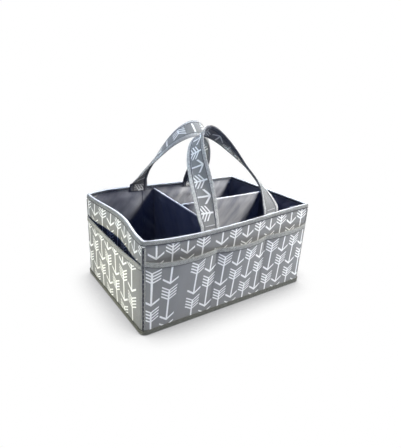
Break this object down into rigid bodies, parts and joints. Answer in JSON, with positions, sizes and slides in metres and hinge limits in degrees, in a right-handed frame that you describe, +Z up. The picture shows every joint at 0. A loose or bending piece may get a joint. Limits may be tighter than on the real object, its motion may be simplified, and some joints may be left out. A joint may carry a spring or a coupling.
{
  "type": "diaper caddy",
  "caption": "Open fabric storage caddy with stiffened bound walls, outside pockets, a sewn-in cross divider, a lift-out long divider and strap handles that swing outward over the rim.",
  "frame": {"origin": "middle of the base, on the surface that the caddy stands on", "axes": "+X along the long front wall to the right, +Y from the front wall to the back wall, +Z up"},
  "size_m": [0.3966, 0.3015, 0.3362],
  "materials": {
    "print": "woven grey fabric with a white arrow print",
    "tape": "ribbed binding tape, grey",
    "satin": "smooth satin lining, grey",
    "board": "plain stiffening board",
    "hook": "hook and loop tape, dark grey"
  },
  "bodies": {
    "caddy": {"outer_front_panel": "print", "front_board": "board", "lining_front": "satin", "front_pocket": "print", "front_pocket_binding": "tape", "outer_back_panel": "print", "back_board": "board", "lining_back": "satin", "back_pocket": "print", "back_pocket_binding": "tape", "outer_left_panel": "print", "left_board": "board", "lining_left": "satin", "left_pocket": "print", "left_pocket_binding": "tape", "outer_right_panel": "print", "right_board": "board", "lining_right": "satin", "right_pocket": "print", "right_pocket_binding": "tape", "base_panel": "print", "base_board": "board", "lining_floor": "satin", "rim_binding": "tape", "base_binding": "tape", "cross_divider_board": "board", "cross_divider_cover": "satin", "cross_divider_flange_front": "satin", "cross_divider_flange_back": "satin", "cross_loop_strip": "hook", "wall_loop_strip": "hook", "corner_binding_front_right": "tape", "corner_binding_back_right": "tape", "corner_binding_back_left": "tape", "corner_binding_front_left": "tape", "front_handle_tail_left": "tape", "front_handle_tail_right": "tape", "back_handle_tail_left": "tape", "back_handle_tail_right": "tape"},
    "front_handle": {"front_handle_strap": "print", "front_handle_tape_inner": "tape", "front_handle_tape_outer": "tape"},
    "back_handle": {"back_handle_strap": "print", "back_handle_tape_inner": "tape", "back_handle_tape_outer": "tape"},
    "divider_tab": {"divider_hinge_tab": "hook"},
    "long_divider": {"long_divider_board": "board", "long_divider_cover": "satin", "long_divider_hook": "hook"}
  },
  "joints": [
    {"name": "front_handle_swing", "type": "hinge", "parent": "caddy", "child": "front_handle", "pos_m": [0.0075, -0.12991, 0.18465], "axis": [0.998, 0.0607, 0.0194], "range_deg": [0, 120]},
    {"name": "back_handle_swing", "type": "hinge", "parent": "caddy", "child": "back_handle", "pos_m": [-0.007, 0.12604, 0.18528], "axis": [-0.9965, 0.0838, 0.0042], "range_deg": [0, 120]},
    {"name": "long_divider_lift", "type": "slide", "parent": "caddy", "child": "divider_tab", "axis": [0, 0, 1], "range_m": [0, 0.06]},
    {"name": "long_divider_swing", "type": "hinge", "parent": "divider_tab", "child": "long_divider", "pos_m": [-0.0327, 0.012, 0.09], "axis": [0, 0, 1], "range_deg": [-18, 18]}
  ]
}
